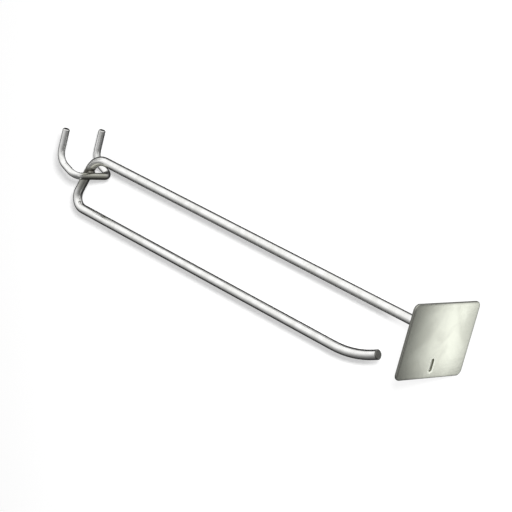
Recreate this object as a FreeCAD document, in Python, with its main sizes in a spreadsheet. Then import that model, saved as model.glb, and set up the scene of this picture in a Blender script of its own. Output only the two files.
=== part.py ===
import FreeCAD, Part
import Sketcher
import math
import os

# Double-wire pegboard hook with a flat label plate, in millimetres.
# Three welded pieces: the arm wire, the peg wire and the label plate.
# Frame: origin midway between the axes of the two upright pegs, where their
# straight length starts. +Z up along the pegs, the arms run along -Y towards
# the shopper, and +X is to the right seen from the front.

Vector = FreeCAD.Vector

SIZES = {
    # Peg wire: one bent wire with two upright pegs, two legs and a crossbar.
    "peg_spacing": 25.4,            # centre to centre, the one inch board pitch
    "peg_wire_dia": 3.8,
    "peg_height": 11.2,             # straight length above the bend
    "peg_bend_radius": 8.0,         # all bend radii are on the centreline
    "leg_length": 14.5,             # peg axis to crossbar centreline, level
    "leg_slope": 18.0,              # degrees, the legs rise towards the board
    "crossbar_corner_radius": 4.5,
    "peg_tip_chamfer": 0.6,
    # Arm wire: upper label arm, riser and lower product arm.
    "arm_wire_dia": 5.0,
    "arm_spacing": 29.5,            # centre to centre
    "upper_arm_rise": 10.5,         # upper arm above the crossbar
    "riser_lean": 18.5,             # degrees, foot of the riser towards the board
    "upper_bend_radius": 11.0,
    "lower_bend_radius": 6.5,
    "label_reach": 248.8,           # crossbar centreline to the plate's front face
    "hook_reach": 217.8,            # crossbar centreline to the product arm's end
    "tip_angle": 25.0,              # degrees
    "tip_rise": 6.8,
    "tip_bend_radius": 60.0,
    "tip_chamfer": 0.4,
    "weld_seat": 0.6,               # how deep the crossbar sinks into the riser
    "weld_upset": 0.6,              # swelling where the arm is butt welded
    "weld_upset_length": 1.4,
    # Label plate: punched flat sheet.
    "plate_width": 47.0,
    "plate_height": 37.0,
    "plate_thickness": 1.2,
    "plate_drop": 3.0,              # plate centre below the upper arm
    "plate_corner_radius": 3.0,
    "plate_edge_radius": 0.35,
    "slot_length": 6.0,
    "slot_width": 1.5,
    "slot_rise": 6.4,               # slot centre above the lower edge
    "slot_bevel_width": 0.85,
    "slot_bevel_depth": 0.25,
}

os.makedirs("parts", exist_ok=True)
doc = FreeCAD.newDocument("pegboard_hook")

sheet = doc.addObject("Spreadsheet::Sheet", "Sizes")
for row, (alias, value) in enumerate(SIZES.items(), start=1):
    sheet.set("A%d" % row, alias)
    sheet.set("B%d" % row, str(value))
    sheet.setAlias("B%d" % row, alias)
doc.recompute()

# Places that more than one piece uses, as expressions in the sheet's cells.
# LEG_RUN is the leg along its slope, from the end of the peg's bend to the
# crossbar, and BAR_DROP the crossbar's depth below the origin.
LEG_RUN = ("((Sizes.leg_length - Sizes.peg_bend_radius * (1 - sin(Sizes.leg_slope)))"
           " / cos(Sizes.leg_slope))")
BAR_DROP = ("(Sizes.peg_bend_radius * cos(Sizes.leg_slope) + %s * sin(Sizes.leg_slope))"
            % LEG_RUN)
PLATE_FRONT = "Sizes.label_reach + Sizes.leg_length"
PLATE_BACK = PLATE_FRONT + " - Sizes.plate_thickness"
PLATE_FOOT = BAR_DROP + " - Sizes.upper_arm_rise + Sizes.plate_drop + Sizes.plate_height / 2"


def value_of(expression):
    result = sheet.evalExpression(expression)
    return float(getattr(result, "Value", result))


def new_body(label):
    body = doc.addObject("PartDesign::Body", label)
    body.Label = label
    return body


def new_sketch(body, name, role, offset=None):
    # A sketch on one of the body's own origin planes, moved along its normal.
    plane = [f for f in body.Origin.OriginFeatures if f.Role == role][0]
    sketch = body.newObject("Sketcher::SketchObject", name)
    sketch.AttachmentSupport = [(plane, "")]
    sketch.MapMode = "FlatFace"
    if offset:
        sketch.setExpression("AttachmentOffset.Base.z", offset)
    return sketch


def tilt(sketch, along, across, angle):
    # Moves a sketch in its plane's own directions, then turns it about its X axis.
    turned = FreeCAD.Rotation(Vector(1, 0, 0), value_of(angle))
    sketch.AttachmentOffset = FreeCAD.Placement(Vector(0, 0, 0), turned)
    sketch.setExpression("AttachmentOffset.Base.y", across)
    sketch.setExpression("AttachmentOffset.Base.z", along)
    sketch.setExpression("AttachmentOffset.Rotation.Angle", angle)


def constrain(sketch, kind, *where, size=None):
    if size is None:
        sketch.addConstraint(Sketcher.Constraint(kind, *where))
        return
    value = value_of(size)
    if kind == "Angle":
        value = math.radians(value)
    sketch.addConstraint(Sketcher.Constraint(kind, *where, value))
    sketch.setExpression("Constraints[%d]" % (sketch.ConstraintCount - 1), size)


def place_point(sketch, point, x, y):
    # Distances of a point from the sketch's origin; a leading minus sign means
    # left or below, and "0" puts it on the axis.
    for kind, axis, size in (("DistanceX", -2, x), ("DistanceY", -1, y)):
        if size == "0":
            constrain(sketch, "PointOnObject", *point, axis)
        elif size.startswith("-"):
            constrain(sketch, kind, *point, -1, 1, size=size[1:])
        else:
            constrain(sketch, kind, -1, 1, *point, size=size)


def circle_sketch(body, name, role, offset, diameter, x, y):
    sketch = new_sketch(body, name, role, offset)
    centre = Vector(value_of(x), value_of(y), 0)
    circle = Part.Circle(centre, Vector(0, 0, 1), value_of(diameter) / 2)
    sketch.addGeometry(circle, False)
    constrain(sketch, "Diameter", 0, size=diameter)
    place_point(sketch, (0, 3), x, y)
    return sketch


def add_wire_path(sketch, corners, radii):
    # Straight runs joined by tangent arcs. Runs are the even geometry numbers
    # and arcs the odd ones, counted from the first one added.
    first = sketch.GeometryCount
    corners = [Vector(x, y, 0) for x, y in corners]
    start = corners[0]
    for i, radius in enumerate(radii, start=1):
        before = (corners[i - 1] - corners[i]).normalize()
        after = (corners[i + 1] - corners[i]).normalize()
        half_turn = (math.pi - before.getAngle(after)) / 2
        bend = value_of(radius)
        run_end = corners[i] + before * (bend * math.tan(half_turn))
        next_start = corners[i] + after * (bend * math.tan(half_turn))
        inwards = (before + after).normalize()
        middle = corners[i] + inwards * (bend / math.cos(half_turn) - bend)
        sketch.addGeometry(Part.LineSegment(start, run_end), False)
        sketch.addGeometry(Part.Arc(run_end, middle, next_start), False)
        start = next_start
    sketch.addGeometry(Part.LineSegment(start, corners[-1]), False)
    for i, radius in enumerate(radii):
        run, arc = first + 2 * i, first + 2 * i + 1
        arc_in = sketch.getPoint(arc, 1).distanceToPoint(sketch.getPoint(run, 2))
        arc_out = sketch.getPoint(arc, 2).distanceToPoint(sketch.getPoint(run, 2))
        near, far = (1, 2) if arc_in < arc_out else (2, 1)
        constrain(sketch, "Tangent", run, 2, arc, near)
        constrain(sketch, "Tangent", arc, far, run + 2, 1)
        constrain(sketch, "Radius", arc, size=radius)


def sweep(body, name, profile, path):
    pipe = body.newObject("PartDesign::AdditivePipe", name)
    pipe.Profile = profile
    pipe.Spine = (path, [])
    doc.recompute()
    return pipe


def edges_where(feature, wanted):
    edges = feature.Shape.Edges
    return ["Edge%d" % i for i, edge in enumerate(edges, start=1) if wanted(edge)]


def dress(body, kind, name, base, edges, size):
    feature = body.newObject("PartDesign::" + kind, name)
    feature.Base = (base, edges)
    feature.setExpression("Size" if kind == "Chamfer" else "Radius", size)
    doc.recompute()
    return feature


def is_rim(edge, centre):
    # A full circle about the given point, such as the rim of a cut wire end.
    circle = isinstance(edge.Curve, Part.Circle)
    return circle and edge.CenterOfMass.distanceToPoint(centre) < 1e-3


def build_peg_wire():
    body = new_body("peg_wire")
    bend, run = value_of("Sizes.peg_bend_radius"), value_of(LEG_RUN)
    half, top = value_of("Sizes.peg_spacing / 2"), value_of("Sizes.peg_height")
    slope = math.radians(value_of("Sizes.leg_slope"))

    # The crossbar and both legs lie in one plane that slopes up to the pegs.
    plan = new_sketch(body, "CrossbarPath", "XY_Plane")
    tilt(plan, "-" + BAR_DROP, "-Sizes.leg_length", "Sizes.leg_slope")
    corners = [(-half, run), (-half, 0), (half, 0), (half, run)]
    add_wire_path(plan, corners, ["Sizes.crossbar_corner_radius"] * 2)
    constrain(plan, "Vertical", 0)
    constrain(plan, "Vertical", 4)
    constrain(plan, "PointOnObject", 2, 1, -1)
    place_point(plan, (0, 1), "-Sizes.peg_spacing / 2", LEG_RUN)
    place_point(plan, (4, 2), "Sizes.peg_spacing / 2", LEG_RUN)
    leg_end = circle_sketch(body, "LegSection", "XZ_Plane", None, "Sizes.peg_wire_dia",
                            "-Sizes.peg_spacing / 2", "0")
    tilt(leg_end, "Sizes.peg_bend_radius * (1 - sin(Sizes.leg_slope))",
         "-Sizes.peg_bend_radius * cos(Sizes.leg_slope)", "Sizes.leg_slope")
    sweep(body, "CrossbarAndLegs", leg_end, plan)

    side = new_sketch(body, "PegPath", "YZ_Plane", "Sizes.peg_spacing / 2")
    side.addGeometry(Part.LineSegment(Vector(0, top, 0), Vector(0, 0, 0)), False)
    centre, quarter = Vector(-bend, 0, 0), math.pi / 2 - slope
    middle = centre + Vector(math.cos(quarter / 2), -math.sin(quarter / 2), 0) * bend
    foot = centre + Vector(math.cos(quarter), -math.sin(quarter), 0) * bend
    side.addGeometry(Part.Arc(Vector(0, 0, 0), middle, foot), False)
    lower = 1 if side.getPoint(1, 1).y < side.getPoint(1, 2).y else 2
    constrain(side, "Vertical", 0)
    constrain(side, "Coincident", 0, 2, -1, 1)
    constrain(side, "DistanceY", 0, 2, 0, 1, size="Sizes.peg_height")
    constrain(side, "Tangent", 0, 2, 1, 3 - lower)
    constrain(side, "Radius", 1, size="Sizes.peg_bend_radius")
    constrain(side, "DistanceY", 1, lower, 1, 3,
              size="Sizes.peg_bend_radius * cos(Sizes.leg_slope)")
    peg_end = circle_sketch(body, "PegSection", "XY_Plane", "Sizes.peg_height",
                            "Sizes.peg_wire_dia", "Sizes.peg_spacing / 2", "0")
    peg = sweep(body, "PegAndBend", peg_end, side)

    tip = Vector(half, 0, top)
    rim = edges_where(peg, lambda edge: is_rim(edge, tip))
    cut_tip = dress(body, "Chamfer", "PegTip", peg, rim, "Sizes.peg_tip_chamfer")

    mirror = body.newObject("PartDesign::Mirrored", "OtherPeg")
    mirror.Originals = [peg, cut_tip]
    plane = [f for f in body.Origin.OriginFeatures if f.Role == "YZ_Plane"][0]
    mirror.MirrorPlane = (plane, [""])
    body.Tip = mirror
    doc.recompute()
    return body


def build_arm_wire():
    body = new_body("arm_wire")
    lean = math.radians(value_of("Sizes.riser_lean"))
    tip_angle = math.radians(value_of("Sizes.tip_angle"))
    bar_y, bar_z = -value_of("Sizes.leg_length"), -value_of(BAR_DROP)
    seat = "(Sizes.arm_wire_dia + Sizes.peg_wire_dia) / 2 - Sizes.weld_seat"
    upper_z = bar_z + value_of("Sizes.upper_arm_rise")
    lower_z = upper_z - value_of("Sizes.arm_spacing")
    tip_y = bar_y - value_of("Sizes.hook_reach")
    tip_rise, thick = value_of("Sizes.tip_rise"), value_of("Sizes.arm_wire_dia")

    def riser_y(z):
        # The riser's centreline leans past the back of the crossbar.
        return bar_y + value_of(seat) / math.cos(lean) - (z - bar_z) * math.tan(lean)

    path = new_sketch(body, "ArmPath", "YZ_Plane")
    corners = [(-value_of(PLATE_BACK), upper_z), (riser_y(upper_z), upper_z),
               (riser_y(lower_z), lower_z),
               (tip_y + tip_rise / math.tan(tip_angle), lower_z),
               (tip_y, lower_z + tip_rise)]
    add_wire_path(path, corners, ["Sizes.upper_bend_radius", "Sizes.lower_bend_radius",
                                  "Sizes.tip_bend_radius"])
    upper_arm, riser, lower_arm, tip = 0, 2, 4, 6
    crossbar = path.addGeometry(Part.Point(Vector(bar_y, bar_z, 0)), True)
    place_point(path, (crossbar, 1), "-Sizes.leg_length", "-" + BAR_DROP)
    constrain(path, "Horizontal", upper_arm)
    constrain(path, "DistanceX", upper_arm, 1, -1, 1, size=PLATE_BACK)
    constrain(path, "DistanceY", crossbar, 1, upper_arm, 1, size="Sizes.upper_arm_rise")
    constrain(path, "Angle", riser, size="Sizes.riser_lean - 90")
    constrain(path, "Distance", crossbar, 1, riser, size=seat)
    constrain(path, "Horizontal", lower_arm)
    constrain(path, "DistanceY", lower_arm, 1, upper_arm, 1, size="Sizes.arm_spacing")
    constrain(path, "Angle", tip, size="180 - Sizes.tip_angle")
    constrain(path, "DistanceX", tip, 2, crossbar, 1, size="Sizes.hook_reach")
    constrain(path, "DistanceY", lower_arm, 2, tip, 2, size="Sizes.tip_rise")

    upper_arm_z = "Sizes.upper_arm_rise - " + BAR_DROP
    section = new_sketch(body, "ArmSection", "XZ_Plane", PLATE_BACK)
    section.setExpression("AttachmentOffset.Base.y", upper_arm_z)
    section.addGeometry(Part.Circle(Vector(0, 0, 0), Vector(0, 0, 1), thick / 2), False)
    constrain(section, "Diameter", 0, size="Sizes.arm_wire_dia")
    constrain(section, "Coincident", 0, 3, -1, 1)
    wire = sweep(body, "BentWire", section, path)

    tip_end = Vector(0, tip_y, lower_z + tip_rise)
    rim = edges_where(wire, lambda edge: is_rim(edge, tip_end))
    dress(body, "Chamfer", "CutTip", wire, rim, "Sizes.tip_chamfer")

    # The upset of the butt weld, a short swelling against the plate's back.
    upset = body.newObject("PartDesign::AdditiveCone", "WeldUpset")
    plane = [f for f in body.Origin.OriginFeatures if f.Role == "XZ_Plane"][0]
    upset.AttachmentSupport = [(plane, "")]
    upset.MapMode = "FlatFace"
    upset.setExpression("AttachmentOffset.Base.z", PLATE_BACK + " - Sizes.weld_upset_length")
    upset.setExpression("AttachmentOffset.Base.y", upper_arm_z)
    upset.setExpression("Radius1", "Sizes.arm_wire_dia / 2")
    upset.setExpression("Radius2", "Sizes.arm_wire_dia / 2 + Sizes.weld_upset")
    upset.setExpression("Height", "Sizes.weld_upset_length")
    doc.recompute()

    # The crossbar's seat, pressed across the front of the riser.
    groove = circle_sketch(body, "CrossbarSeat", "YZ_Plane", None, "Sizes.peg_wire_dia",
                           "-Sizes.leg_length", "-" + BAR_DROP)
    pocket = body.newObject("PartDesign::Pocket", "Seat")
    pocket.Profile = groove
    pocket.Midplane = True
    pocket.setExpression("Length", "2 * Sizes.arm_wire_dia")
    doc.recompute()
    return body


def obround_sketch(body, name, offset, width, length, middle):
    # An upright slot outline, centred on X, its middle this far below the origin.
    sketch = new_sketch(body, name, "XZ_Plane", offset)
    radius = value_of(width) / 2
    reach = value_of(length) / 2 - radius
    z = -value_of(middle)
    up, down, axis = Vector(0, z + reach, 0), Vector(0, z - reach, 0), Vector(0, 0, 1)
    side = Vector(radius, 0, 0)
    sketch.addGeometry(Part.ArcOfCircle(Part.Circle(up, axis, radius), 0, math.pi), False)
    sketch.addGeometry(Part.LineSegment(up - side, down - side), False)
    lower = Part.Circle(down, axis, radius)
    sketch.addGeometry(Part.ArcOfCircle(lower, math.pi, 2 * math.pi), False)
    sketch.addGeometry(Part.LineSegment(down + side, up + side), False)
    for geometry, following in ((0, 1), (1, 2), (2, 3), (3, 0)):
        constrain(sketch, "Tangent", geometry, 2, following, 1)
    constrain(sketch, "Vertical", 1)
    constrain(sketch, "PointOnObject", 0, 3, -2)
    constrain(sketch, "Radius", 0, size="(" + width + ") / 2")
    constrain(sketch, "DistanceY", 2, 3, 0, 3, size="(%s) - (%s)" % (length, width))
    constrain(sketch, "DistanceY", 0, 3, -1, 1,
              size="(%s) - ((%s) - (%s)) / 2" % (middle, length, width))
    return sketch


def build_label_plate():
    body = new_body("label_plate")
    half = value_of("Sizes.plate_width / 2")
    foot = -value_of(PLATE_FOOT)
    head = foot + value_of("Sizes.plate_height")

    outline = new_sketch(body, "Blank", "XZ_Plane", PLATE_BACK)
    corners = [Vector(-half, foot, 0), Vector(half, foot, 0),
               Vector(half, head, 0), Vector(-half, head, 0)]
    for i in range(4):
        outline.addGeometry(Part.LineSegment(corners[i], corners[(i + 1) % 4]), False)
    for i in range(4):
        constrain(outline, "Coincident", i, 2, (i + 1) % 4, 1)
    constrain(outline, "Symmetric", 0, 1, 0, 2, -2)
    constrain(outline, "Vertical", 1)
    constrain(outline, "Horizontal", 2)
    constrain(outline, "Vertical", 3)
    constrain(outline, "DistanceX", 0, 1, 0, 2, size="Sizes.plate_width")
    constrain(outline, "DistanceY", 1, 1, 1, 2, size="Sizes.plate_height")
    constrain(outline, "DistanceY", 0, 1, -1, 1, size=PLATE_FOOT)
    pad = body.newObject("PartDesign::Pad", "Sheet")
    pad.Profile = outline
    pad.setExpression("Length", "Sizes.plate_thickness")
    doc.recompute()

    def through(edge):
        return abs(edge.tangentAt(edge.FirstParameter).y) > 0.99

    rounded = dress(body, "Fillet", "RoundedCorners", pad, edges_where(pad, through),
                    "Sizes.plate_corner_radius")

    def on_a_face(edge):
        places = [vertex.Y for vertex in edge.Vertexes]
        return max(places) - min(places) < 1e-4

    dress(body, "Fillet", "TumbledEdges", rounded, edges_where(rounded, on_a_face),
          "Sizes.plate_edge_radius")

    slot_middle = PLATE_FOOT + " - Sizes.slot_rise"
    bevel_width = "Sizes.slot_width + 2 * Sizes.slot_bevel_width"
    bevel_length = "Sizes.slot_length + 2 * Sizes.slot_bevel_width"
    slot = obround_sketch(body, "SlotOutline", PLATE_FRONT, "Sizes.slot_width",
                          "Sizes.slot_length", slot_middle)
    pocket = body.newObject("PartDesign::Pocket", "Slot")
    pocket.Profile = slot
    pocket.Type = "ThroughAll"
    doc.recompute()
    mouth = obround_sketch(body, "BevelMouth", PLATE_FRONT, bevel_width, bevel_length,
                           slot_middle)
    throat = obround_sketch(body, "BevelThroat", PLATE_FRONT + " - Sizes.slot_bevel_depth",
                            "Sizes.slot_width", "Sizes.slot_length", slot_middle)
    bevel = body.newObject("PartDesign::SubtractiveLoft", "SlotBevel")
    bevel.Profile = mouth
    bevel.Sections = [(throat, [""])]
    bevel.Ruled = True
    doc.recompute()
    return body


bodies = [build_arm_wire(), build_peg_wire(), build_label_plate()]
doc.recompute()

for item in doc.Objects:
    if "Invalid" in item.State or "Error" in item.State:
        raise RuntimeError("%s failed: %s" % (item.Name, item.State))
for body in bodies:
    shape = body.Shape
    if shape.isNull() or not shape.isValid() or len(shape.Solids) != 1:
        raise RuntimeError("%s isn't one valid solid" % body.Label)
    box = shape.BoundBox
    print("%-12s volume %9.2f mm3, X %.2f..%.2f  Y %.2f..%.2f  Z %.2f..%.2f"
          % (body.Label, shape.Volume, box.XMin, box.XMax, box.YMin, box.YMax,
             box.ZMin, box.ZMax))
    shape.exportStep("parts/%s.step" % body.Label)
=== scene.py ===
import math

import bmesh
import bpy
from mathutils import Matrix, Vector, noise


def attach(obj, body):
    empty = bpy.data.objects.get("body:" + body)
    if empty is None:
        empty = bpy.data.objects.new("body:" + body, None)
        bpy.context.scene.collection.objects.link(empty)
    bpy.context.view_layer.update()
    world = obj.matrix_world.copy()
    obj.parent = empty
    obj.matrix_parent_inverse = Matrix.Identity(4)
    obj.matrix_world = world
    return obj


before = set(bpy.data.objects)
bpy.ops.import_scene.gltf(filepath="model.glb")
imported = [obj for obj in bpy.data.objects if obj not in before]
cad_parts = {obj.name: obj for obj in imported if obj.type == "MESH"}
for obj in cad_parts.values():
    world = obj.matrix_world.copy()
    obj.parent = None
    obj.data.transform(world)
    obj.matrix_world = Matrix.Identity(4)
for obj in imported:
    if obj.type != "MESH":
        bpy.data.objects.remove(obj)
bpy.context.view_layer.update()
millimetre = 0.001


# small helpers for node trees

def addNode(tree, kind, place, settings=None, values=None):
    node = tree.nodes.new(kind)
    node.location = place
    for key, value in (settings or {}).items():
        setattr(node, key, value)
    for key, value in (values or {}).items():
        node.inputs[key].default_value = value
    return node


def feed(tree, socket, value):
    # a socket takes a link from another node, or a plain value
    if hasattr(value, "is_output"):
        tree.links.new(value, socket)
    elif value is not None:
        socket.default_value = value


def addMath(tree, operation, place, first, second=None, third=None, clamp=False):
    node = addNode(tree, "ShaderNodeMath", place, {"operation": operation, "use_clamp": clamp})
    for index, value in enumerate((first, second, third)):
        feed(tree, node.inputs[index], value)
    return node.outputs[0]


def addVectorMath(tree, operation, place, first, second=None):
    node = addNode(tree, "ShaderNodeVectorMath", place, {"operation": operation})
    feed(tree, node.inputs[0], first)
    feed(tree, node.inputs[1], second)
    givesNumber = operation in ("DISTANCE", "DOT_PRODUCT", "LENGTH")
    return node.outputs["Value" if givesNumber else "Vector"]


def splitAxes(tree, place, vector):
    node = addNode(tree, "ShaderNodeSeparateXYZ", place)
    tree.links.new(vector, node.inputs[0])
    return node.outputs


def mapRange(tree, place, value, fromRange, toRange=(0.0, 1.0), smooth=False):
    node = addNode(tree, "ShaderNodeMapRange", place, {"clamp": True})
    if smooth:
        node.interpolation_type = "SMOOTHSTEP"
    names = ("Value", "From Min", "From Max", "To Min", "To Max")
    for name, amount in zip(names, (value, *fromRange, *toRange)):
        feed(tree, node.inputs[name], amount)
    return node.outputs["Result"]


def mixColour(tree, place, factor, first, second):
    node = addNode(tree, "ShaderNodeMix", place, {"data_type": "RGBA"})
    feed(tree, node.inputs[0], factor)
    for index, colour in ((6, first), (7, second)):   # the colour sockets of a Mix node
        feed(tree, node.inputs[index], (*colour, 1.0) if isinstance(colour, tuple) else colour)
    return node.outputs[2]


def mixShader(tree, place, factor, first, second):
    node = addNode(tree, "ShaderNodeMixShader", place)
    for index, value in enumerate((factor, first, second)):
        tree.links.new(value, node.inputs[index])
    return node.outputs[0]


def newGroup(name, inputs, outputs):
    group = bpy.data.node_groups.new(name, "ShaderNodeTree")
    for label, kind, start in inputs:
        socket = group.interface.new_socket(name=label, in_out="INPUT", socket_type=kind)
        if start is not None:
            socket.default_value = start
    for label in outputs:
        group.interface.new_socket(name=label, in_out="OUTPUT", socket_type="NodeSocketFloat")
    source = addNode(group, "NodeGroupInput", (-900, 0))
    target = addNode(group, "NodeGroupOutput", (700, 0))
    return group, source.outputs, target.inputs


def useGroup(tree, group, place, vector, values):
    node = addNode(tree, "ShaderNodeGroup", place, {"node_tree": group}, values)
    tree.links.new(vector, node.inputs["Vector"])
    return node.outputs


# effects that the wire, the sheet and the weld share

def makePlatingCloud():
    # soft patches of thicker and thinner zinc, with a fine crystal grain over them
    inputs = (
        ("Vector", "NodeSocketVector", None),
        ("Patch Scale", "NodeSocketFloat", 120.0),
        ("Grain Scale", "NodeSocketFloat", 1600.0),
        ("Grain Share", "NodeSocketFloat", 0.25),
    )
    group, given, result = newGroup("platingCloud", inputs, ("Cloud",))
    patch = addNode(group, "ShaderNodeTexNoise", (-600, 150), None,
                    {"Detail": 3.0, "Roughness": 0.55, "Distortion": 0.6})
    grain = addNode(group, "ShaderNodeTexNoise", (-600, -150), None,
                    {"Detail": 2.0, "Roughness": 0.6})
    for node, scale in ((patch, "Patch Scale"), (grain, "Grain Scale")):
        group.links.new(given["Vector"], node.inputs["Vector"])
        group.links.new(given[scale], node.inputs["Scale"])
    patchContrast = (0.32, 0.68)
    soft = mapRange(group, (-300, 150), patch.outputs["Fac"], patchContrast, smooth=True)
    centred = addMath(group, "SUBTRACT", (-300, -150), grain.outputs["Fac"], 0.5)
    share = addMath(group, "MULTIPLY", (-100, -150), centred, given["Grain Share"])
    group.links.new(addMath(group, "ADD", (200, 0), soft, share, clamp=True), result["Cloud"])
    return group


def makeDrawLines():
    # faint lines left by the drawing die or the rolls: long where the stretch is small
    inputs = (
        ("Vector", "NodeSocketVector", None),
        ("Stretch", "NodeSocketVector", (1.0, 1.0, 1.0)),
    )
    group, given, result = newGroup("drawLines", inputs, ("Lines",))
    scaled = addVectorMath(group, "MULTIPLY", (-750, 0), given["Vector"], given["Stretch"])
    ripple = addNode(group, "ShaderNodeTexNoise", (-600, 0), None,
                     {"Scale": 1.0, "Detail": 4.0, "Roughness": 0.5})
    group.links.new(scaled, ripple.inputs["Vector"])
    lineContrast = (0.3, 0.7)
    group.links.new(mapRange(group, (-200, 0), ripple.outputs["Fac"], lineContrast), result["Lines"])
    return group


def makeHeatMark():
    # the dull halo that a resistance weld leaves round its point, with a ragged edge
    inputs = (
        ("Vector", "NodeSocketVector", None),
        ("Point", "NodeSocketVector", (0.0, 0.0, 0.0)),
        ("Inner", "NodeSocketFloat", 2.0 * millimetre),
        ("Outer", "NodeSocketFloat", 6.0 * millimetre),
    )
    group, given, result = newGroup("heatMark", inputs, ("Mark",))
    raggedScale = 700.0
    raggedReach = 1.2 * millimetre
    distance = addVectorMath(group, "DISTANCE", (-600, 100), given["Vector"], given["Point"])
    ragged = addNode(group, "ShaderNodeTexNoise", (-600, -150), None,
                     {"Scale": raggedScale, "Detail": 3.0})
    group.links.new(given["Vector"], ragged.inputs["Vector"])
    shift = addMath(group, "MULTIPLY_ADD", (-350, -150), ragged.outputs["Fac"],
                    2 * raggedReach, -raggedReach)
    worn = addMath(group, "ADD", (-150, 0), distance, shift)
    mark = mapRange(group, (100, 0), worn, (given["Inner"], given["Outer"]), (1.0, 0.0), True)
    group.links.new(mark, result["Mark"])
    return group


def makeCutEnd():
    # the sheared end of a wire: its flat face, and the whole end with the chamfer round it
    inputs = (
        ("Vector", "NodeSocketVector", None),
        ("Point", "NodeSocketVector", (0.0, 0.0, 0.0)),
        ("Axis", "NodeSocketVector", (0.0, 0.0, 1.0)),
        ("Chamfer", "NodeSocketFloat", 0.5 * millimetre),
        ("Span", "NodeSocketFloat", 18.0 * millimetre),
    )
    group, given, result = newGroup("cutEnd", inputs, ("End", "Face"))
    offset = addVectorMath(group, "SUBTRACT", (-600, 0), given["Vector"], given["Point"])
    along = addVectorMath(group, "DOT_PRODUCT", (-400, 0), offset, given["Axis"])
    past = addMath(group, "ADD", (-200, 100), along, given["Chamfer"])
    endBlend = (-0.08 * millimetre, 0.02 * millimetre)
    faceBlend = (-0.10 * millimetre, -0.04 * millimetre)
    end = mapRange(group, (0, 100), past, endBlend)
    face = mapRange(group, (0, -150), along, faceBlend)
    # nothing further off than the span, such as the other arm, counts as this end
    distance = addVectorMath(group, "LENGTH", (-400, -350), offset)
    near = addMath(group, "LESS_THAN", (-200, -350), distance, given["Span"])
    group.links.new(addMath(group, "MULTIPLY", (300, 100), end, near), result["End"])
    group.links.new(addMath(group, "MULTIPLY", (300, -150), face, near), result["Face"])
    return group


platingCloud = makePlatingCloud()
drawLines = makeDrawLines()
heatMark = makeHeatMark()
cutEnd = makeCutEnd()
print("shared effects made")


# materials

def newMaterial(name):
    material = bpy.data.materials.new(name)
    material.use_nodes = True
    tree = material.node_tree
    shader = tree.nodes["Principled BSDF"]
    shader.location = (900, 0)
    tree.nodes["Material Output"].location = (1200, 0)
    coords = addNode(tree, "ShaderNodeTexCoord", (-1400, 0))
    return material, tree, shader.inputs, coords.outputs


def addCloud(tree, place, coords, values):
    return useGroup(tree, platingCloud, place, coords["Object"], {
        "Patch Scale": values["patchScale"],
        "Grain Scale": values["grainScale"],
        "Grain Share": values["grainShare"],
    })["Cloud"]


def addLines(tree, place, coords, values):
    stretch = {"Stretch": values["lineStretch"]}
    return useGroup(tree, drawLines, place, coords["Object"], stretch)["Lines"]


def addBump(tree, surface, height, depth, strength):
    bump = addNode(tree, "ShaderNodeBump", (650, -350), None,
                   {"Strength": strength, "Distance": depth})
    tree.links.new(height, bump.inputs["Height"])
    tree.links.new(bump.outputs["Normal"], surface["Normal"])


armFinish = {
    "pale": (0.82, 0.82, 0.81),
    "deep": (0.72, 0.72, 0.70),
    "stained": (0.42, 0.42, 0.38),
    "burnt": (0.13, 0.125, 0.11),
    "patchScale": 150.0,
    "grainScale": 1500.0,
    "grainShare": 0.25,
    "roughness": (0.24, 0.16),             # from the deep patches to the pale ones
    "stainedRoughness": 0.34,
    "burntRoughness": 0.55,
    "lineStretch": (3200.0, 70.0, 3200.0),
    "lineDepth": 0.01 * millimetre,
    "lineStrength": 0.2,
    "glanceShade": (0.2, 0.2, 0.2),             # how much it mirrors at a glancing angle: a painted dark outline
    "stainPoint": (0.0, -0.0108, -0.0130),
    "stainReach": (3.5 * millimetre, 10.5 * millimetre),
    "burntPoint": (0.0, -0.0127, -0.0092),
    "burntReach": (2.6 * millimetre, 4.8 * millimetre),
    "endPoint": (0.0, -0.2323, -0.02272),
    "endAxis": (0.0, -0.9063, 0.4226),
    "endChamfer": 0.4 * millimetre,
    "endSpan": 18.0 * millimetre,
    # the end's rim and face: the bare cut metal's own darker tone, deepened with painted shade
    "endRim": (0.14, 0.14, 0.13),
    "endFace": (0.34, 0.34, 0.32),
    "endRoughness": 0.4,
}

pegFinish = {
    "pale": (0.82, 0.82, 0.81),
    "deep": (0.72, 0.72, 0.70),
    "stained": (0.63, 0.63, 0.56),
    "burnt": (0.13, 0.125, 0.11),
    "patchScale": 150.0,
    "grainScale": 1500.0,
    "grainShare": 0.25,
    "roughness": (0.24, 0.16),
    "stainedRoughness": 0.24,
    "burntRoughness": 0.55,
    "lineStretch": (2600.0, 260.0, 260.0),
    "lineDepth": 0.01 * millimetre,
    "lineStrength": 0.2,
    "glanceShade": (0.2, 0.2, 0.2),
    "stainPoint": (0.0, -0.0145, -0.0105),
    "stainReach": (7.0 * millimetre, 11.0 * millimetre),
    "burntPoint": (0.0, -0.0127, -0.0092),
    "burntReach": (1.4 * millimetre, 2.8 * millimetre),
    "endPoint": (0.0, 0.0, 0.0112),        # midway between the tips of the two pegs
    "endAxis": (0.0, 0.0, 1.0),
    "endChamfer": 0.3 * millimetre,
    "endSpan": 18.0 * millimetre,
    # the end's rim and face: the bare cut metal's own darker tone, deepened with painted shade
    "endRim": (0.10, 0.10, 0.095),
    "endFace": (0.08, 0.08, 0.075),
    "endRoughness": 0.3,
}


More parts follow.
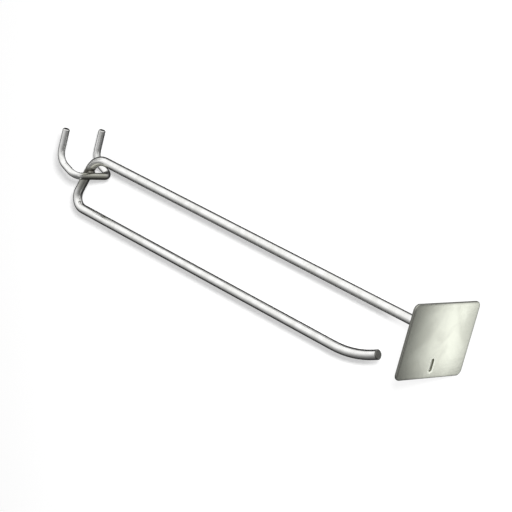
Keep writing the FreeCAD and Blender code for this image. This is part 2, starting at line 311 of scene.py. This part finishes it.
def makeWireMaterial(name, values):
    material, tree, surface, coords = newMaterial(name)
    cloud = addCloud(tree, (-1000, 200), coords, values)
    lines = addLines(tree, (-1000, -200), coords, values)
    marks = []
    for mark, column in (("stain", -1000), ("burnt", -750)):
        inner, outer = values[mark + "Reach"]
        halo = useGroup(tree, heatMark, (column, -500), coords["Object"],
                        {"Point": values[mark + "Point"], "Inner": inner, "Outer": outer})
        marks.append(halo["Mark"])
    cut = useGroup(tree, cutEnd, (-500, -500), coords["Object"], {
        "Point": values["endPoint"],
        "Axis": values["endAxis"],
        "Chamfer": values["endChamfer"],
        "Span": values["endSpan"],
    })

    # each layer lies over the ones before it
    layers = (
        (marks[0], values["stained"], values["stainedRoughness"]),
        (marks[1], values["burnt"], values["burntRoughness"]),
        # the cut end: the bare metal's own tone, deepened with painted shade
        (cut["End"], values["endRim"], values["endRoughness"]),
        (cut["Face"], values["endFace"], values["endRoughness"]),
    )
    colour = mixColour(tree, (-600, 300), cloud, values["deep"], values["pale"])
    rough = mapRange(tree, (-600, 0), cloud, (0.0, 1.0), values["roughness"])
    for step, (mask, layerColour, layerRough) in enumerate(layers):
        column = step * 200 - 400
        colour = mixColour(tree, (column, 300), mask, colour, layerColour)
        gap = addMath(tree, "SUBTRACT", (column - 100, 0), layerRough, rough)
        rough = addMath(tree, "MULTIPLY_ADD", (column, 0), gap, mask, rough)
    tree.links.new(colour, surface["Base Color"])
    tree.links.new(rough, surface["Roughness"])
    surface["Metallic"].default_value = 1.0
    # zinc's own lower mirror at a glancing angle, deepened into a painted dark outline along the
    # wire's silhouette
    surface["Specular Tint"].default_value = (*values["glanceShade"], 1.0)
    addBump(tree, surface, lines, values["lineDepth"], values["lineStrength"])
    return material


sheetFinish = {
    "pale": (0.89, 0.915, 0.80),
    "deep": (0.83, 0.85, 0.74),
    "edge": (0.20, 0.20, 0.18),
    # the throat's dark colour is painted shade inside the slot
    "throat": (0.25, 0.26, 0.19),
    # the rim's near-white colour, with less metal below, is a painted highlight on the pressed bevel
    # round the slot
    "rim": (0.95, 0.97, 0.86),
    "border": (0.56, 0.57, 0.505),
    "patchScale": 75.0,
    "grainScale": 900.0,
    "grainShare": 0.3,
    "roughness": (0.17, 0.13),             # from the deep patches to the pale ones
    "edgeRoughness": 0.45,
    "edgeTurn": (0.75, 0.25),              # how squarely a face looks along Y: plain, then edge
    "lineStretch": (260.0, 1.0, 2600.0),
    "lineDepth": 0.015 * millimetre,
    "lineStrength": 0.3,
    "slotRise": -0.01512,                  # height of the slot's middle
    "slotHalfRun": 2.25 * millimetre,
    "throatReach": (0.94 * millimetre, 1.06 * millimetre),
    "rimReach": (1.80 * millimetre, 2.12 * millimetre),
    "rimDepth": (-0.26290, -0.26305),      # the rim ends just behind the front face
    "rimMetal": 0.42,
    "rimRoughness": 0.42,
    "plateMiddle": (0.0, -0.2627, -0.003024),
    "borderStart": (21.8 * millimetre, 17.0 * millimetre),
    "borderWidth": 1.5 * millimetre,
}


def slotMasks(tree, coords, values):
    # painted shade in the slot's dark throat, and a painted highlight on the pressed rim round it, by
    # the distance to its middle line
    axes = splitAxes(tree, (-1200, -600), coords["Object"])
    rise = addMath(tree, "SUBTRACT", (-1000, -600), axes["Z"], values["slotRise"])
    reach = addMath(tree, "ABSOLUTE", (-850, -600), rise)
    past = addMath(tree, "SUBTRACT", (-700, -600), reach, values["slotHalfRun"])
    beyond = addMath(tree, "MAXIMUM", (-550, -600), past, 0.0)
    flat = addNode(tree, "ShaderNodeCombineXYZ", (-400, -600))
    tree.links.new(axes["X"], flat.inputs["X"])
    tree.links.new(beyond, flat.inputs["Z"])
    away = addVectorMath(tree, "LENGTH", (-250, -600), flat.outputs[0])
    throat = mapRange(tree, (-100, -450), away, values["throatReach"], (1.0, 0.0))
    ring = mapRange(tree, (-100, -600), away, values["rimReach"], (1.0, 0.0), True)
    front = mapRange(tree, (-100, -850), axes["Y"], values["rimDepth"])
    pressedHighlight = addMath(tree, "MULTIPLY", (100, -650), ring, front)
    around = addMath(tree, "SUBTRACT", (100, -450), 1.0, throat)
    return throat, addMath(tree, "MULTIPLY", (250, -550), pressedHighlight, around)


def borderMask(tree, coords, values):
    # a darker band along the four borders of the plate
    middle = addVectorMath(tree, "SUBTRACT", (-1000, -1250), coords["Object"], values["plateMiddle"])
    outward = addVectorMath(tree, "ABSOLUTE", (-850, -1250), middle)
    axes = splitAxes(tree, (-700, -1250), outward)
    past = [addMath(tree, "SUBTRACT", (-550, -1250), axes[axis], start)
            for axis, start in zip("XZ", values["borderStart"])]
    furthest = addMath(tree, "MAXIMUM", (-400, -1250), *past)
    return mapRange(tree, (-250, -1250), furthest, (0.0, values["borderWidth"]), smooth=True)


def sideMask(tree, coords, values):
    # the sheared sides of the sheet, which are plainer and darker than its two faces
    facing = splitAxes(tree, (-1200, -1000), coords["Normal"])
    turned = addMath(tree, "ABSOLUTE", (-1000, -1000), facing["Y"])
    return mapRange(tree, (-800, -1000), turned, values["edgeTurn"])


def makeSheetMaterial(name, values):
    material, tree, surface, coords = newMaterial(name)
    cloud = addCloud(tree, (-1000, 200), coords, values)
    lines = addLines(tree, (-1000, -200), coords, values)
    throat, rim = slotMasks(tree, coords, values)
    border = borderMask(tree, coords, values)
    sides = sideMask(tree, coords, values)

    # each layer lies over the ones before it
    layers = (
        (border, values["border"]),
        (sides, values["edge"]),
        # painted shade in the slot's throat
        (throat, values["throat"]),
        # a painted highlight on the pressed rim round the slot
        (rim, values["rim"]),
    )
    colour = mixColour(tree, (-600, 300), cloud, values["deep"], values["pale"])
    for step, (mask, layerColour) in enumerate(layers):
        colour = mixColour(tree, (step * 150 - 450, 300), mask, colour, layerColour)
    tree.links.new(colour, surface["Base Color"])

    # the roughest of the plating, the sheared metal and the pressed rim counts
    plated = mapRange(tree, (-600, 0), cloud, (0.0, 1.0), values["roughness"])
    sheared = addMath(tree, "MAXIMUM", (-600, -1000), sides, throat)
    shearedRough = addMath(tree, "MULTIPLY", (-400, 0), sheared, values["edgeRoughness"])
    rimRough = addMath(tree, "MULTIPLY", (-200, -150), rim, values["rimRoughness"])
    rough = addMath(tree, "MAXIMUM", (-200, 0), plated, shearedRough)
    tree.links.new(addMath(tree, "MAXIMUM", (0, 0), rough, rimRough), surface["Roughness"])
    # less metal on the rim keeps its painted highlight white from every side
    metal = mapRange(tree, (300, -200), rim, (0.0, 1.0), (1.0, values["rimMetal"]))
    tree.links.new(metal, surface["Metallic"])
    addBump(tree, surface, lines, values["lineDepth"], values["lineStrength"])
    return material


def dressNode(name, material):
    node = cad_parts[name]
    if not node.material_slots:
        node.data.materials.append(material)
    for materialSlot in node.material_slots:
        materialSlot.material = material


dressNode("arm_wire", makeWireMaterial("platedWireArm", armFinish))
dressNode("peg_wire", makeWireMaterial("platedWirePeg", pegFinish))
dressNode("label_plate", makeSheetMaterial("platedSheet", sheetFinish))
print("plated materials on the frame")


# the flash that the resistance weld has squeezed out between the riser and the crossbar

weldBead = {
    "centre": (0.0, -0.0145, -0.010524),   # on the crossbar's centreline
    "lean": 18.5,                          # degrees, as the riser leans
    "halfWidth": 2.05 * millimetre,        # across the riser
    "halfRise": 1.95 * millimetre,         # along the riser
    "sideReach": 2.05 * millimetre,        # from the crossbar's centreline, at the two sides
    "endReach": 0.95 * millimetre,         # and above and below it
    "thickness": 0.68 * millimetre,
    "ragged": 0.30 * millimetre,
    "lumpScale": 900.0,
    "fineLumpScale": 2300.0,
    "fineLumpShare": 0.5,
    "roundSteps": 72,                      # round the ring
    "sectionSteps": 20,                    # round its section
    "pale": (0.36, 0.35, 0.31),
    "deep": (0.13, 0.125, 0.115),
    "roughness": (0.62, 0.38),             # from the deep patches to the pale ones
    "patchScale": 1400.0,
    "grainScale": 5600.0,
    "grainShare": 0.5,
    "pitDepth": 0.05 * millimetre,
    "pitStrength": 0.8,
}


def makeBeadMaterial(values):
    material, tree, surface, coords = newMaterial("weldMetal")
    cloud = addCloud(tree, (-900, 200), coords, values)
    colour = mixColour(tree, (-500, 300), cloud, values["deep"], values["pale"])
    tree.links.new(colour, surface["Base Color"])
    rough = mapRange(tree, (-500, 0), cloud, (0.0, 1.0), values["roughness"])
    tree.links.new(rough, surface["Roughness"])
    surface["Metallic"].default_value = 1.0
    addBump(tree, surface, cloud, values["pitDepth"], values["pitStrength"])
    return material


def turnForm(form, degrees, axis, verts):
    turn = Matrix.Rotation(math.radians(degrees), 3, axis)
    bmesh.ops.rotate(form, cent=(0, 0, 0), matrix=turn, verts=verts)


def makeWeldBead(values):
    form = bmesh.new()
    reach = values["halfWidth"]
    section = bmesh.ops.create_circle(form, segments=values["sectionSteps"],
                                      radius=values["thickness"])["verts"]
    turnForm(form, 90, "X", section)
    bmesh.ops.translate(form, vec=(reach, 0.0, 0.0), verts=section)
    bmesh.ops.spin(form, geom=form.verts[:] + form.edges[:], cent=(0, 0, 0), axis=(0, 0, 1),
                   angle=math.tau, steps=values["roundSteps"], use_merge=True)
    bmesh.ops.remove_doubles(form, verts=form.verts, dist=1e-7)
    for vert in form.verts:
        # it lies in the groove between the two wires, so its sides are deeper than its top and foot
        across = min(abs(vert.co.x) / reach, 1.0) ** 2
        lump = (noise.noise(vert.co * values["lumpScale"])
                + values["fineLumpShare"] * noise.noise(vert.co * values["fineLumpScale"]))
        middle = Vector((vert.co.x, vert.co.y, 0.0)).normalized() * reach
        swell = 1.0 + lump * values["ragged"] / values["thickness"]
        place = middle + (vert.co - middle) * swell
        depth = values["endReach"] + (values["sideReach"] - values["endReach"]) * across
        vert.co = Vector((place.x, place.y * values["halfRise"] / reach, place.z + depth))
    # the ring's own up axis turns to point from the crossbar into the riser
    turnForm(form, values["lean"] - 90, "X", form.verts)
    bmesh.ops.translate(form, vec=values["centre"], verts=form.verts)
    bmesh.ops.recalc_face_normals(form, faces=form.faces)
    mesh = bpy.data.meshes.new("weldBead")
    form.to_mesh(mesh)
    form.free()
    mesh.shade_smooth()
    mesh.materials.append(makeBeadMaterial(values))
    bead = bpy.data.objects.new("weldBead", mesh)
    bpy.context.scene.collection.objects.link(bead)
    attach(bead, "root")


makeWeldBead(weldBead)
print("weld bead made")


# camera, from the photograph's viewing angle

cameraSetup = {
    "aim": (0.01574, -0.12839, -0.01318),
    "azimuth": -48.21,
    "elevation": 14.85,
    "roll": 14.70,
    "distance": 1.01488,
    "lens": 141.52,
    "sensor": 36.0,
    "clip": (0.01, 20.0),
}


def cameraAxes(values):
    azimuth, elevation, roll = (math.radians(values[key]) for key in ("azimuth", "elevation", "roll"))
    back = Vector((math.sin(azimuth) * math.cos(elevation),
                   -math.cos(azimuth) * math.cos(elevation),
                   math.sin(elevation)))
    level = Vector((math.cos(azimuth), math.sin(azimuth), 0.0))
    upright = back.cross(level)
    right = math.cos(roll) * level + math.sin(roll) * upright
    up = math.cos(roll) * upright - math.sin(roll) * level
    return right, up, back


viewRight, viewUp, viewBack = cameraAxes(cameraSetup)
cameraPlace = Vector(cameraSetup["aim"]) + viewBack * cameraSetup["distance"]


def makeCamera(values):
    data = bpy.data.cameras.new("photoCamera")
    data.lens = values["lens"]
    data.sensor_width = values["sensor"]
    data.clip_start, data.clip_end = values["clip"]
    camera = bpy.data.objects.new("photoCamera", data)
    bpy.context.scene.collection.objects.link(camera)
    turn = Matrix((viewRight, viewUp, viewBack)).transposed().to_4x4()
    camera.matrix_world = Matrix.Translation(cameraPlace) @ turn
    bpy.context.scene.camera = camera


makeCamera(cameraSetup)
print("camera placed")


# studio: a pale sheet behind the hook, one soft lamp, and what the metal mirrors

def newStageMaterial(name):
    material = bpy.data.materials.new(name)
    material.use_nodes = True
    material.node_tree.nodes.clear()
    return material, material.node_tree


def flatForm(size, turn, axis, place):
    form = bmesh.new()
    bmesh.ops.create_grid(form, x_segments=1, y_segments=1, size=0.5)
    bmesh.ops.scale(form, vec=(*size, 1.0), verts=form.verts)
    turnForm(form, turn, axis, form.verts)
    bmesh.ops.translate(form, vec=place, verts=form.verts)
    return form


def addGlow(tree, place, strength):
    glow = addNode(tree, "ShaderNodeEmission", place)
    feed(tree, glow.inputs["Strength"], strength)
    return glow.outputs[0]


def finishStage(name, form, material, surface, seenBy):
    result = addNode(material.node_tree, "ShaderNodeOutputMaterial", (750, 100))
    material.node_tree.links.new(surface, result.inputs[0])
    mesh = bpy.data.meshes.new(name)
    form.to_mesh(mesh)
    form.free()
    mesh.materials.append(material)
    piece = bpy.data.objects.new(name, mesh)
    bpy.context.scene.collection.objects.link(piece)
    for ray in ("camera", "diffuse", "glossy", "transmission", "volume_scatter", "shadow"):
        setattr(piece, "visible_" + ray, ray in seenBy)


def whiteRays(tree, place):
    # camera, mirror and glass rays see the plain white background
    path = addNode(tree, "ShaderNodeLightPath", place)
    first = addMath(tree, "MAXIMUM", (place[0] + 200, place[1]),
                    path.outputs["Is Camera Ray"], path.outputs["Is Glossy Ray"])
    return addMath(tree, "MAXIMUM", (place[0] + 400, place[1]),
                   first, path.outputs["Is Transmission Ray"])


paleSheet = {
    "place": (0.0246, -0.130, -0.015),
    "size": (0.60, 0.80),                  # upwards, and along the arms
    "colour": (0.95, 0.95, 0.95),
    "lift": 0.20,                          # lifts the paper to white where no shadow falls
    "fade": (-0.222, -0.204),              # along Y, where painted white light takes the shadow out
    "fadeKeep": 0.22,                      # how much of the shadow is kept under the plate, the rest painted out in white
}


def makePaleSheet(values):
    form = flatForm(values["size"], -90, "Y", values["place"])
    material, tree = newStageMaterial("paleSheet")
    paper = addNode(tree, "ShaderNodeBsdfDiffuse", (0, 200), None, {"Color": (*values["colour"], 1.0)})
    lift = addMath(tree, "MULTIPLY", (-200, 0), whiteRays(tree, (-800, 0)), values["lift"])
    total = addNode(tree, "ShaderNodeAddShader", (250, 100))
    tree.links.new(paper.outputs[0], total.inputs[0])
    tree.links.new(addGlow(tree, (0, 0), lift), total.inputs[1])
    coords = addNode(tree, "ShaderNodeTexCoord", (-400, 500))
    axes = splitAxes(tree, (-200, 500), coords.outputs["Object"])
    # painted light: towards the plate the sheet turns to a plain white glow, which paints out most of
    # the plate's shadow
    keep = mapRange(tree, (0, 500), axes["Y"], values["fade"], (values["fadeKeep"], 1.0), True)
    faded = mixShader(tree, (400, 250), keep, addGlow(tree, (250, 250), 1.0), total.outputs[0])
    # from behind the sheet is clear, so that it hides the hook from no side
    clear = addNode(tree, "ShaderNodeBsdfTransparent", (250, -100)).outputs[0]
    facing = addNode(tree, "ShaderNodeNewGeometry", (250, 400))
    surface = mixShader(tree, (600, 100), facing.outputs["Backfacing"], faded, clear)
    finishStage("paleSheet", form, material, surface, ("camera", "diffuse", "shadow"))


lightTent = {
    "centre": (0.0, -0.13, -0.015),
    "radius": 3.0,
    "facets": 4,                           # how often its faces are split
    "towards": (-0.40, 0.30, 0.866),       # its brightest side
    "edge": (-0.70, 0.65),
    "curve": 1.8,
    "levels": (0.18, 1.25),
    # two dark cloths and a bright card: where each hangs, how far it reaches, and its level
    "cloths": (
        ((0.7207, 0.6442, -0.2563), (0.22, 0.58), 0.06),
        ((0.75, -0.25, -0.61), (0.80, 0.95), 0.04),
        ((0.0, -0.985, 0.17), (0.927, 0.974), 0.85),
    ),
}


def makeLightTent(values):
    form = bmesh.new()
    bmesh.ops.create_icosphere(form, subdivisions=values["facets"], radius=values["radius"])
    bmesh.ops.translate(form, vec=values["centre"], verts=form.verts)
    material, tree = newStageMaterial("lightTent")
    coords = addNode(tree, "ShaderNodeTexCoord", (-1200, 0))
    centred = addVectorMath(tree, "SUBTRACT", (-1000, 0), coords.outputs["Object"], values["centre"])
    direction = addVectorMath(tree, "NORMALIZE", (-800, 0), centred)

    def nearness(heading, height):
        unit = Vector(heading).normalized()
        return addVectorMath(tree, "DOT_PRODUCT", (-600, height), direction, unit)

    share = mapRange(tree, (-400, 150), nearness(values["towards"], 150), values["edge"])
    curved = addMath(tree, "POWER", (-200, 150), share, values["curve"])
    level = mapRange(tree, (0, 150), curved, (0.0, 1.0), values["levels"])
    for step, (heading, edge, clothLevel) in enumerate(values["cloths"]):
        height = -150 - 200 * step
        keep = mapRange(tree, (-400, height), nearness(heading, height), edge, (1.0, 0.0), True)
        gap = addMath(tree, "SUBTRACT", (0, height), level, clothLevel)
        level = addMath(tree, "MULTIPLY_ADD", (200, height), gap, keep, clothLevel)
    finishStage("lightTent", form, material, addGlow(tree, (450, 0), level), ("glossy",))


plateCard = {
    "place": (0.107, -0.3333, -0.037),
    "size": (0.090, 0.080),                # across, and upwards
    "rise": (0.0657, 0.1065),              # along X, from dark to white
    "fall": (0.1134, 0.1286),              # and from white to grey
    "levels": (0.11, 1.20, 0.27),          # dark, white and grey
    "foot": (-0.0567, -0.0498),            # along Z, its duller foot
    "footLevel": 0.66,
    "longest": 0.145,                      # the longest ray that still sees the card
}


def makePlateCard(values):
    # a card that stands before the plate, dark at its left end, then white, then grey
    form = flatForm(values["size"], 90, "X", values["place"])
    material, tree = newStageMaterial("plateCard")
    coords = addNode(tree, "ShaderNodeTexCoord", (-800, 0))
    axes = splitAxes(tree, (-600, 0), coords.outputs["Object"])
    dark, white, grey = values["levels"]
    rise = mapRange(tree, (-400, 100), axes["X"], values["rise"], (dark, white), True)
    fall = mapRange(tree, (-400, -150), axes["X"], values["fall"], (white, grey), True)
    foot = mapRange(tree, (-400, -400), axes["Z"], values["foot"], (values["footLevel"], 1.0), True)
    least = addMath(tree, "MINIMUM", (-250, 0), rise, fall)
    level = addMath(tree, "MULTIPLY", (-250, -200), least, foot)
    # only the plate stands near enough to mirror the card: the wires look past it
    path = addNode(tree, "ShaderNodeLightPath", (-400, 450))
    tooFar = addMath(tree, "GREATER_THAN", (-100, 250), path.outputs["Ray Length"], values["longest"])
    clear = addNode(tree, "ShaderNodeBsdfTransparent", (-100, -150)).outputs[0]
    surface = mixShader(tree, (50, 0), tooFar, addGlow(tree, (-100, 0), level), clear)
    finishStage("plateCard", form, material, surface, ("glossy",))


shadowLamp = {
    "right": 0.030,                        # from the camera
    "up": 0.070,
    "power": 8.8,
    "size": 0.08,
}


def makeShadowLamp(values):
    # near the camera, so that the shadows fall just below and left of the wires
    data = bpy.data.lights.new("shadowLamp", "AREA")
    data.shape = "DISK"
    data.size = values["size"]
    data.energy = values["power"]
    lamp = bpy.data.objects.new("shadowLamp", data)
    bpy.context.scene.collection.objects.link(lamp)
    spot = cameraPlace + viewRight * values["right"] + viewUp * values["up"]
    lamp.location = spot
    lamp.rotation_mode = "QUATERNION"
    lamp.rotation_quaternion = (spot - Vector(cameraSetup["aim"])).to_track_quat("Z", "Y")
    lamp.visible_glossy = False
    lamp.visible_camera = False


studioWorld = {
    "ambient": 0.45,
    "background": 1.0,
}


def makeWorld(values):
    world = bpy.data.worlds.new("studio")
    bpy.context.scene.world = world
    world.use_nodes = True
    tree = world.node_tree
    tree.nodes.clear()
    level = mapRange(tree, (-200, 0), whiteRays(tree, (-800, 0)), (0.0, 1.0),
                     (values["ambient"], values["background"]))
    sky = addNode(tree, "ShaderNodeBackground", (0, 0), None, {"Color": (1.0, 1.0, 1.0, 1.0)})
    tree.links.new(level, sky.inputs["Strength"])
    result = addNode(tree, "ShaderNodeOutputWorld", (200, 0))
    tree.links.new(sky.outputs[0], result.inputs[0])


makePaleSheet(paleSheet)
makeLightTent(lightTent)
makePlateCard(plateCard)
makeShadowLamp(shadowLamp)
makeWorld(studioWorld)
bpy.context.scene.view_settings.view_transform = "Standard"
print("studio set")
